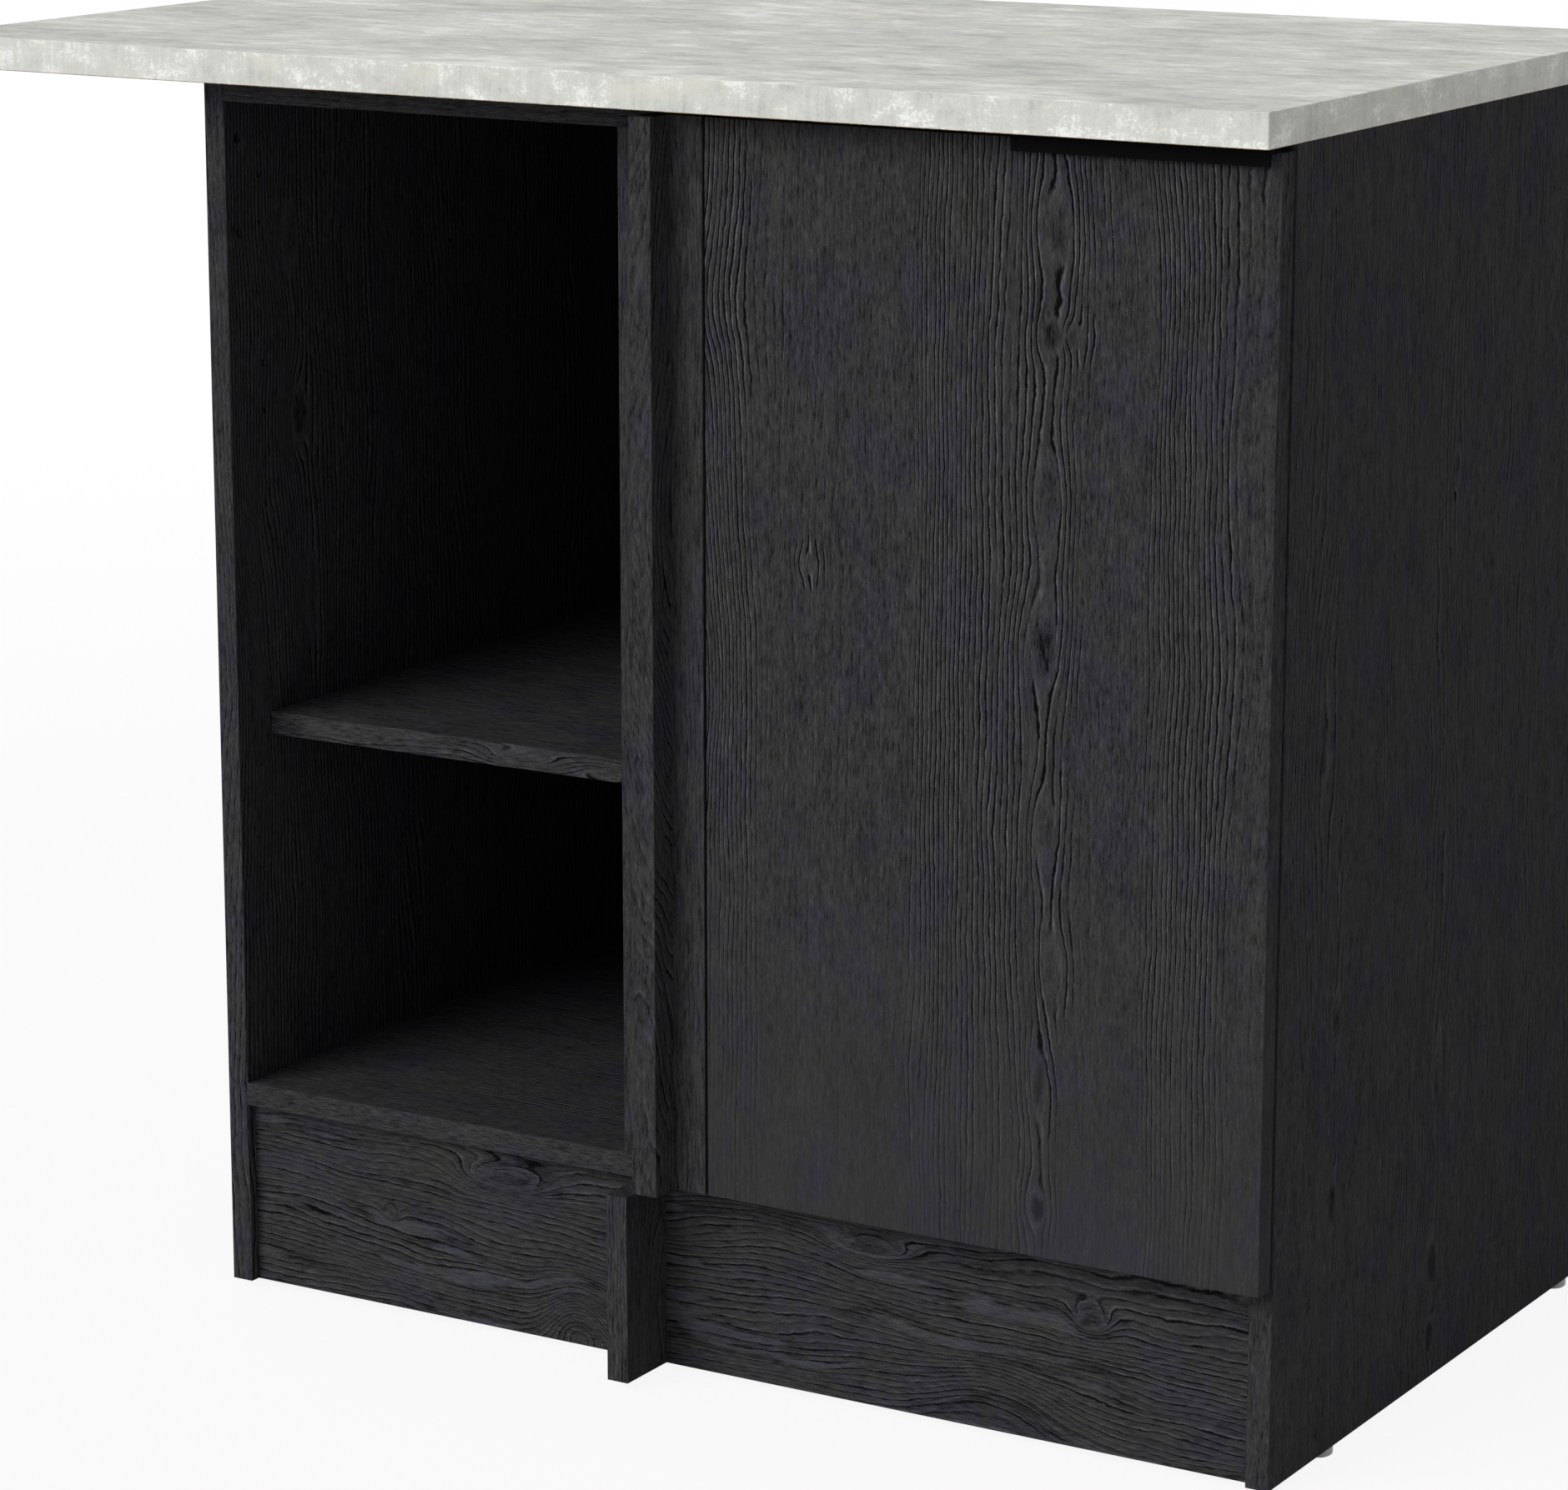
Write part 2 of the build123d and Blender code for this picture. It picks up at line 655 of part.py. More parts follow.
# Glides, nailed into the feet of the side panels
with BuildPart() as glides:
    for x in glide_xs:
        for y in glide_ys:
            with BuildSketch(Plane.XY.offset(glide_bevel)):
                with Locations((x, y)):
                    Circle(glide_radius)
            extrude(amount=glide_height - glide_bevel)
            with BuildSketch(Plane.XY.offset(glide_bevel)):
                with Locations((x, y)):
                    Circle(glide_radius)
            extrude(amount=-glide_bevel, taper=glide_bevel_angle)
            rod((x, y, foot_z), up, glide_nail_radius, glide_nail_length)
finish("glides", glides)

# Worktop
with BuildPart() as worktop:
    slab(-right_x, right_x, worktop_front_y, worktop_rear_y, side_top_z, worktop_top_z)
    chamfer(worktop.edges(), worktop_bevel)
    for x in worktop_screw_xs:
        for y in worktop_screw_ys:
            socket((x, y, side_top_z), up, screw_radius, worktop_screw_bite)
finish("worktop", worktop)

with BuildPart() as worktop_screws:
    for x in worktop_screw_xs:
        for y in worktop_screw_ys:
            length = board + worktop_screw_bite
            screw((x, y, rail_z), up, screw_radius, length, screw_head_radius, screw_head_height)
finish("worktop_screws", worktop_screws)

# Door, with the cup bores in its back and the pull's screw holes in its top edge
pull_x1 = door_x1 - pull_inset
pull_x0 = pull_x1 - pull_length
pull_screw_xs = spread(pull_x0 + pull_screw_inset, pull_x1 - pull_screw_inset, pull_screw_count)
door_middle_y = (door_front_y + door_back_y) / 2

with BuildPart() as door:
    slab(door_x0, door_x1, door_front_y, door_back_y, door_z0, door_z1)
    fillet(door.faces().sort_by(Axis.Y)[0].edges(), edge_round)
    for hinge_z in hinge_zs:
        socket((cup_x, door_back_y, hinge_z), forward, cup_radius, cup_depth)
        for z in (hinge_z - cup_screw_spacing / 2, hinge_z + cup_screw_spacing / 2):
            socket((cup_screw_x, door_back_y, z), forward, thin_screw_radius, cup_screw_length)
    for x in pull_screw_xs:
        socket((x, door_middle_y, door_z1), down, thin_screw_radius, pull_screw_length)
finish("door", door)

with BuildPart() as door_bumpers:
    for z in (door_z0 + bumper_inset, door_z1 - bumper_inset):
        rod((door_x1 - bumper_inset, door_back_y, z), rearward, bumper_radius, bumper_thickness)
finish("door_bumpers", door_bumpers)

# Edge pull: a bent strip over the door's top edge, with a lip ahead of the door's face
with BuildPart() as edge_pull:
    lip_back_y = door_front_y - pull_standoff
    lip_front_y = lip_back_y - pull_wall
    web_rear_y = door_back_y - pull_rear_gap
    pull_top_z = door_z1 + pull_wall
    with BuildSketch(Plane.YZ.offset(pull_x0)):
        with BuildLine():
            Polyline((web_rear_y, door_z1), (lip_back_y, door_z1), (lip_back_y, door_z1 - pull_drop),
                     (lip_front_y, door_z1 - pull_drop), (lip_front_y, pull_top_z),
                     (web_rear_y, pull_top_z), close=True)
        make_face()
    extrude(amount=pull_length)
    outer_bend = edge_pull.edges().filter_by(Axis.X).group_by(Axis.Y)[0].sort_by(Axis.Z)[-1]
    fillet(outer_bend, pull_bend_radius)
    for x in pull_screw_xs:
        with Locations((x, door_middle_y, door_z1)):
            Cone(thin_screw_radius + hole_clearance, thin_head_radius + hole_clearance, pull_wall,
                 align=(Align.CENTER, Align.CENTER, Align.MIN), mode=Mode.SUBTRACT)
finish("edge_pull", edge_pull)

with BuildPart() as edge_pull_screws:
    for x in pull_screw_xs:
        rod((x, door_middle_y, door_z1), down, thin_screw_radius, pull_screw_length)
        with Locations((x, door_middle_y, door_z1)):
            Cone(thin_screw_radius, thin_head_radius, pull_wall,
                 align=(Align.CENTER, Align.CENTER, Align.MIN))
        cross_recess((x, door_middle_y, door_z1 + pull_wall), down, thin_head_radius)
finish("edge_pull_screws", edge_pull_screws)

# Hinge cups, pressed into the door, with a flange and two screwed ears on its back face
with BuildPart() as hinge_cups:
    for hinge_z in hinge_zs:
        mouth = (cup_x, door_back_y, hinge_z)
        flange_y = door_back_y + cup_flange_thickness
        rod(mouth, forward, cup_radius, cup_depth)
        rod(mouth, rearward, cup_flange_radius, cup_flange_thickness)
        slab(cup_x, cup_x + cup_ear_width, door_back_y, flange_y,
             hinge_z - cup_ear_reach, hinge_z + cup_ear_reach)
        rod((cup_x, flange_y, hinge_z), forward, cup_inner_radius,
            cup_flange_thickness + cup_depth - cup_floor, mode=Mode.SUBTRACT)
        for z in (hinge_z - cup_screw_spacing / 2, hinge_z + cup_screw_spacing / 2):
            socket((cup_screw_x, flange_y, z), forward, thin_screw_radius, cup_flange_thickness)
        pin_foot = (cup_pin_x, cup_pin_y, hinge_z - cup_pin_half)
        bore(pin_foot, up, cup_pin_radius, 2 * cup_pin_half)
finish("hinge_cups", hinge_cups)

with BuildPart() as hinge_cup_screws:
    seat_y = door_back_y + cup_flange_thickness
    shank = cup_flange_thickness + cup_screw_length
    for hinge_z in hinge_zs:
        for z in (hinge_z - cup_screw_spacing / 2, hinge_z + cup_screw_spacing / 2):
            seat = (cup_screw_x, seat_y, z)
            screw(seat, forward, thin_screw_radius, shank, thin_head_radius, thin_head_height)
finish("hinge_cup_screws", hinge_cup_screws)

with BuildPart() as hinge_cup_pins:
    for hinge_z in hinge_zs:
        rod((cup_pin_x, cup_pin_y, hinge_z - cup_pin_half), up, cup_pin_radius, 2 * cup_pin_half)
finish("hinge_cup_pins", hinge_cup_pins)

# Hinge links: a bent band with an eye on each pin, which dips into the cup when closed
with BuildPart() as hinge_links:
    bow_y = door_back_y - link_bow_depth
    route = ((cup_pin_x, cup_pin_y), (cup_pin_x + link_bow_start, bow_y),
             (arm_pin_x - link_bow_end, bow_y),
             (arm_pin_x - link_shoulder_offset, door_back_y - link_shoulder_depth),
             (arm_pin_x, arm_pin_y))
    for hinge_z in hinge_zs:
        link_z0 = hinge_z - link_width / 2
        with BuildSketch(Plane.XY.offset(link_z0)):
            with BuildLine():
                FilletPolyline(*route, radius=link_bend_radius)
            trace(line_width=link_wall)
            with Locations((cup_pin_x, cup_pin_y)):
                Circle(link_cup_eye_radius)
            with Locations((arm_pin_x, arm_pin_y)):
                Circle(link_arm_eye_radius)
        extrude(amount=link_width)
        cup_eye = cup_pin_radius + pivot_clearance
        arm_eye = arm_pin_radius + pivot_clearance
        bore((cup_pin_x, cup_pin_y, link_z0), up, cup_eye, link_width)
        bore((arm_pin_x, arm_pin_y, link_z0), up, arm_eye, link_width)
finish("hinge_links", hinge_links)

# Hinge arms: a channel on the plate that turns round the stile's edge to a nose with two cheeks
with BuildPart() as hinge_arms:
    arm_x1 = arm_pin_x + arm_nose_radius
    arm_x0 = arm_pin_x - arm_nose_radius
    for hinge_z in hinge_zs:
        with BuildSketch(Plane.XY.offset(hinge_z - arm_half)):
            with BuildLine():
                Polyline((arm_x1, arm_pin_y), (arm_x1, arm_rear_y), (plate_x0, arm_rear_y),
                         (plate_x0, arm_front_y), (arm_x0, arm_front_y), (arm_x0, arm_pin_y), close=True)
            make_face()
            with Locations((arm_pin_x, arm_pin_y)):
                Circle(arm_nose_radius)
        extrude(amount=2 * arm_half)
        back_corner = hinge_arms.edges().filter_by(Axis.Z).group_by(Axis.Y)[-1].sort_by(Axis.X)[-1]
        fillet(back_corner, arm_corner_radius)
        hollow = (hinge_z - arm_inner_half, hinge_z + arm_inner_half)
        slab(plate_x0, arm_x1 - arm_wall, arm_front_y, arm_rear_y - arm_wall, *hollow, mode=Mode.SUBTRACT)
        slab(arm_x0, arm_x1 - arm_wall, arm_pin_y, arm_front_y, *hollow, mode=Mode.SUBTRACT)
        slab(arm_x0, arm_x1, arm_pin_y - arm_nose_radius, arm_pin_y + arm_pin_room, *hollow,
             mode=Mode.SUBTRACT)
        bore((arm_pin_x, arm_pin_y, hinge_z - arm_half), up, arm_pin_radius, 2 * arm_half)
        socket((plate_x, arm_rear_y, hinge_z), forward, thin_screw_radius, arm_wall)
finish("hinge_arms", hinge_arms)

with BuildPart() as hinge_arm_pins:
    for hinge_z in hinge_zs:
        rod((arm_pin_x, arm_pin_y, hinge_z - arm_half), up, arm_pin_radius, 2 * arm_half)
finish("hinge_arm_pins", hinge_arm_pins)

# Hinge plates: a cross-shaped base on the stile's rear face, with a block inside the arm
with BuildPart() as hinge_plates:
    block_y1 = arm_front_y + plate_rise
    block_half = arm_inner_half - hole_clearance
    base_half = arm_half + plate_margin
    wing_half = plate_screw_spacing / 2 + plate_wing_end
    for hinge_z in hinge_zs:
        slab(plate_x0, plate_x1, stile_rear_y, arm_front_y, hinge_z - base_half, hinge_z + base_half)
        slab(plate_x - plate_wing_width / 2, plate_x + plate_wing_width / 2, stile_rear_y, arm_front_y,
             hinge_z - wing_half, hinge_z + wing_half)
        slab(plate_x0, plate_x1, arm_front_y, block_y1, hinge_z - block_half, hinge_z + block_half)
        socket((plate_x, block_y1, hinge_z), forward, thin_screw_radius, plate_rise)
        for offset in plate_screw_offsets:
            socket((plate_x, arm_front_y, hinge_z + offset), forward, thin_screw_radius, plate_base)
finish("hinge_plates", hinge_plates)

with BuildPart() as hinge_plate_screws:
    for hinge_z in hinge_zs:
        for offset in plate_screw_offsets:
            seat = (plate_x, arm_front_y, hinge_z + offset)
            screw(seat, forward, thin_screw_radius, plate_screw_length, thin_head_radius, thin_head_height)
finish("hinge_plate_screws", hinge_plate_screws)

with BuildPart() as hinge_arm_screws:
    for hinge_z in hinge_zs:
        seat = (plate_x, arm_rear_y, hinge_z)
        length = arm_rear_y - arm_front_y
        screw(seat, forward, thin_screw_radius, length, thin_head_radius, thin_head_height)
finish("hinge_arm_screws", hinge_arm_screws)
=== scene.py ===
import math
from collections import namedtuple

import bpy
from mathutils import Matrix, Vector


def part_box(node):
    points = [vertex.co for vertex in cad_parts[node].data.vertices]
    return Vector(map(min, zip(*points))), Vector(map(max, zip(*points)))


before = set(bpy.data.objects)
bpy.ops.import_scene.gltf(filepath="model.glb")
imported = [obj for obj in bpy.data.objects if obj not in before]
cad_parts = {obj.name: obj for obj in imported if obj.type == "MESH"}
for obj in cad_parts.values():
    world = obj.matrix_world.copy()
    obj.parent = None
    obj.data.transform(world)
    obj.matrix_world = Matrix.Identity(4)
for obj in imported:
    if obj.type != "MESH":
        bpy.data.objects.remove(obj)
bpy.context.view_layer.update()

# Colours as a display shows them, 0 to 255.
white = (255, 255, 255)
floor_colour = (222, 222, 222)
charcoal = (53, 53, 53)
charcoal_violet = (51, 51, 57)
charcoal_olive = (53, 53, 52)
concrete_grey = (204, 205, 199)
concrete_pale = (235, 236, 232)
concrete_dark = (176, 178, 173)
concrete_warm = (216, 215, 200)
chip_dark = (96, 70, 46)
chip_pale = (186, 154, 114)
hardboard_dark = (122, 96, 70)
hardboard_pale = (164, 134, 102)
hardboard_black = (19, 19, 20)
softwood_pale = (208, 176, 132)
softwood_dark = (176, 132, 84)
beech_pale = (214, 182, 142)
beech_dark = (190, 150, 108)
nickel_colour = (205, 203, 198)
zinc_colour = (205, 207, 212)
cast_zinc_colour = (178, 179, 182)
powder_black = (8, 8, 8)
glide_grey = (184, 185, 185)
strip_black = (34, 34, 35)
bumper_clear = (196, 198, 198)

# Lengths are in metres. A board's edge finish reaches in by edge_skin, and one finish passes
# into the next over blend.
ring_pitch = 0.0042
edge_skin = 0.0006
blend = 0.0003

turn = 2 * math.pi
front, rear = 0, 1


def linear(colour):
    """The colour in the linear values that shaders use, with a full alpha."""
    channels = []
    for value in colour:
        share = value / 255
        channels.append(share / 12.92 if share <= 0.04045 else ((share + 0.055) / 1.055) ** 2.4)
    return (*channels, 1.0)


class Field:
    """A value that varies over a surface. Arithmetic on it adds nodes to its graph."""

    def __init__(self, graph, socket):
        self.graph = graph
        self.socket = socket

    def __add__(self, other):
        return self.graph.math("ADD", self, other)

    def __radd__(self, other):
        return self.graph.math("ADD", other, self)

    def __sub__(self, other):
        return self.graph.math("SUBTRACT", self, other)

    def __rsub__(self, other):
        return self.graph.math("SUBTRACT", other, self)

    def __mul__(self, other):
        return self.graph.math("MULTIPLY", self, other)

    def __truediv__(self, other):
        return self.graph.math("DIVIDE", self, other)


class Graph:
    """The node tree of a material or a world, with short calls for the nodes that it needs."""

    def __init__(self, owner, output_kind="ShaderNodeOutputMaterial"):
        self.owner = owner
        owner.use_nodes = True
        self.tree = owner.node_tree
        self.tree.nodes.clear()
        self.output = self.tree.nodes.new(output_kind)

    def set(self, socket, value):
        """Links a field to the socket, or writes a plain number or colour there."""
        if isinstance(value, Field):
            self.tree.links.new(value.socket, socket)
        else:
            socket.default_value = value

    def node(self, kind, **values):
        """A new node, with its inputs set by their names, where _ stands for a space."""
        node = self.tree.nodes.new(kind)
        for name, value in values.items():
            self.set(node.inputs[name.replace("_", " ")], value)
        return node

    def math(self, operation, *values):
        node = self.tree.nodes.new("ShaderNodeMath")
        node.operation = operation
        for socket, value in zip(node.inputs, values):
            self.set(socket, value)
        return Field(self, node.outputs[0])

    def place(self):
        """The three coordinates of a point of the object, in metres."""
        coordinates = self.node("ShaderNodeTexCoord")
        split = self.node("ShaderNodeSeparateXYZ")
        self.tree.links.new(coordinates.outputs["Object"], split.inputs[0])
        return [Field(self, socket) for socket in split.outputs]

    def noise(self, x, y, z=0.0, detail=2.0, roughness=0.5):
        """Soft noise about 0, from -0.5 to 0.5, whose blotches are about one unit wide."""
        point = self.node("ShaderNodeCombineXYZ", X=x, Y=y, Z=z)
        noise = self.node("ShaderNodeTexNoise", Vector=Field(self, point.outputs[0]), Scale=1.0,
                          Detail=detail, Roughness=roughness)
        return Field(self, noise.outputs["Fac"]) - 0.5

    def layer(self, size, first, second, seed=0.0):
        """Noise with the blotches of a layer, along two directions of the surface."""
        return self.noise(first / size.first, second / size.second, seed + size.offset,
                          detail=size.detail, roughness=size.roughness)

    def solid_noise(self, point, size, seed=None, detail=2.0, roughness=0.5):
        """Noise through the solid, with blotches of this size along its three coordinates."""
        x, y, z = (value / length for value, length in zip(point, size))
        return self.noise(x, y, z if seed is None else z + seed, detail, roughness)

    def step(self, value, low, high):
        """0 where value is at low, 1 where it is at high, smooth between them."""
        node = self.node("ShaderNodeMapRange", Value=value, From_Min=low, From_Max=high)
        node.interpolation_type = "SMOOTHSTEP"
        return Field(self, node.outputs["Result"])

    def mix(self, share, first, second):
        """Two colours, the second one by a share from 0 to 1."""
        node = self.tree.nodes.new("ShaderNodeMix")
        node.data_type = "RGBA"
        self.set(node.inputs["Factor"], share)
        for name, value in (("A", first), ("B", second)):
            socket = next(s for s in node.inputs if s.name == name and s.type == "RGBA")
            self.set(socket, value)
        return Field(self, next(s for s in node.outputs if s.type == "RGBA"))

    def tone(self, colour, strength):
        """A colour times a field of strengths."""
        node = self.tree.nodes.new("ShaderNodeVectorMath")
        node.operation = "SCALE"
        self.set(node.inputs[0], colour if isinstance(colour, Field) else colour[:3])
        self.set(node.inputs["Scale"], strength)
        return Field(self, node.outputs[0])

    def bump(self, height, depth):
        """A normal field from a height field, where 1 stands for depth in metres."""
        node = self.node("ShaderNodeBump", Strength=1.0, Distance=depth, Height=height)
        return Field(self, node.outputs[0])

    def shown_directly(self):
        """1 where the camera, a reflection or a clear part sees the surface, and else 0."""
        seen = self.node("ShaderNodeLightPath")
        camera, gloss, glass = (Field(self, seen.outputs[kind]) for kind in
                                ("Is Camera Ray", "Is Glossy Ray", "Is Transmission Ray"))
        return self.math("MAXIMUM", self.math("MAXIMUM", camera, gloss), glass)

    def mix_shader(self, share, first, second):
        """Two shaders, the second one by a share from 0 to 1."""
        node = self.tree.nodes.new("ShaderNodeMixShader")
        self.set(node.inputs[0], share)
        self.tree.links.new(first.outputs[0], node.inputs[1])
        self.tree.links.new(second.outputs[0], node.inputs[2])
        return node

    def close(self, shader):
        """Ends the graph with this shader and returns the material or world."""
        self.tree.links.new(shader.outputs[0], self.output.inputs["Surface"])
        return self.owner

    def surface(self, colour, roughness, normal, **plain):
        """Ends the graph with the surface shader and returns its material."""
        return self.close(self.node("ShaderNodeBsdfPrincipled", Base_Color=colour,
                                    Roughness=roughness, Normal=normal, **plain))


def material_graph(name):
    return Graph(bpy.data.materials.new(name))


# A layer of noise: the size of its blotches along the first and second direction, in metres,
# what is added to the seed, its detail and its roughness.
Layer = namedtuple("Layer", "first second offset detail roughness", defaults=(2.0, 0.5))


def chipboard(g, point):
    """Colour of a bare particle board edge, whose chips and flakes lie flat."""
    chip = g.solid_noise(point, (0.0016, 0.0016, 0.0009), detail=3.0, roughness=0.7)
    flake = g.solid_noise(point, (0.0045, 0.0045, 0.0014))
    pale_share = g.step(chip * 1.2 + flake, -0.22, 0.22)
    return g.mix(pale_share, linear(chip_dark), linear(chip_pale))


# An eye in the grain: its middle and half sizes, in metres across and along the grain, how many
# rings close round it, how far it pushes the rings apart, from 0 to 1, and how dark its core is.
# One without a core only bends the rings.
Eye = namedtuple("Eye", "across along width length rings spread core")

# The decor's layers, across and along the grain.
grain_layers = {
    "slow": Layer(0.11, 0.62, 0.0, 1.5),
    "bow": Layer(0.06, 0.16, 3.1),
    "shake": Layer(0.012, 0.03, 5.7, 4.0, 0.65),
    "kink": Layer(0.0045, 0.0075, 6.6),
    "zone": Layer(0.075, 0.75, 9.3),
    "fibre": Layer(0.0010, 0.009, 17.0, 2.0, 0.6),
    "fleck": Layer(0.0050, 0.0300, 19.5, 5.0, 0.82),
    "web": Layer(0.0042, 0.016, 21.0, 4.0, 0.72),
    "blotch": Layer(0.035, 0.09, 23.0, 3.0),
    # Painted glints: tiny bright dots painted into the colour.
    "painted_glints": Layer(0.0009, 0.0009, 29.0, 0.0),
    "tint": Layer(0.060, 0.095, 31.0, 8.0, 0.78),
}

# A layer that follows the rings: its blotches per ring across them, their length along the grain
# in metres, what is added to the seed, and its detail.
RingLayer = namedtuple("RingLayer", "per_ring along offset detail")
ring_layers = {
    "lens": RingLayer(0.24, 0.20, 41.0, 3.0),
    "depth": RingLayer(0.8, 0.30, 11.9, 1.0),
    "broken": RingLayer(1.3, 0.022, 14.2, 2.0),
}

# How far each layer moves the rings, counted in rings, and the bands, in metres. eye_shake is how
# ragged an eye's outline is.
stray = {"slow": 14.0, "bow": 5.0, "shake": 0.85, "kink": 0.32}
band_stray = {"slow": 0.03, "bow": 0.02}
eye_shake = 0.5

# A band is full within the first share of its half width and gone at the second. Zones that noise
# chooses start and end over zone_edge, and few_rings of the rings show outside both.
band_full, band_gone = 0.7, 1.15
zone_edge = 0.08
few_rings = 0.15

# The mean depth of a ring's groove, how much it changes from ring to ring and along one ring, how
# much deeper it gets at an eye, and how far an eye without a core brings rings out.
ring_mean, ring_change, ring_breaks = 0.95, 3.0, 2.2
eye_gain = 0.25
coreless = 0.3

# The share of the rings that each of these takes away, and of these that the rings take away.
calmed_by = {"halo": 0.95, "edging": 0.6, "lens": 0.7}
between_rings = {"crack": 0.6, "fibre": 0.35}

# The share of each that is left at the pale end of a board whose grain fades.
faded = {"ring": 0.2, "fleck": 0.40, "crack": 0.4, "fibre": 0.25}

# Where each mark starts to show and where it is full, on the scale of the field it comes from.
span = {
    "near eye": (4.5, 0.6), "core": (0.42, -0.04), "halo": (0.80, 0.25),
    "lens": (0.080, 0.120), "rim": (0.035, 0.080),
    "groove": (0.45, 1.0), "ridge": (0.50, 1.0),
    "crack": (0.030, 0.0), "dash": (0.04, 0.14), "scratch": (-0.04, -0.14),
    "dark blotch": (0.12, 0.20), "painted_glint": (0.325, 0.36),
    "violet": (-0.01, 0.07), "olive": (-0.04, -0.12),
}

# How much paler or darker than the wood each mark is, and how high or deep, both as shares. The
# ridge's paler shade is painted highlight on the embossed ridge. The groove's darker shade is the
# dark grain line, partly painted shade in the embossed groove.
paler = {"ridge": 0.70, "dash": 0.45, "blotch": 0.15, "lens": 0.40, "painted_glint": 2.5, "halo": 0.25}
darker = {"groove": 0.90, "scratch": 0.45, "crack": 0.22, "rim": 0.35, "dark blotch": 0.30,
          "core": 0.85}
higher = {"ridge": 0.12, "fleck": 0.4}
deeper = {"groove": 0.6, "scratch": 0.22, "crack": 0.20}

# The plain wood's height, and what a height of 1 stands for, in metres.
relief_middle = 0.6
relief_depth = 0.00022

# How far a ridge lies beside its groove, in rings, how much the fibres break up the ridge's
# painted highlight, how much more violet the long patches are, how strong dark blotches are away
# from eyes, and the darkest shade.
ridge_lag = 0.24
ridge_fibre = 2.0
lens_violet = 0.06
far_blotch = 0.35
darkest = 0.12

decor_roughness, groove_rougher, fleck_smoother = 0.70, 0.12, 0.20
matt_specular = 0.01


def grain_coordinates(x, y, z, grain, face):
    """Across and along the grain of a board. On its face, across is the frame's own coordinate."""
    axis, place = face
    if grain == "z" and axis == "y":
        return x + (y - place), z
    if grain == "z":
        return y + (x - place), z
    if axis == "y":
        return z + (y - place), x
    return y + (z - place), x


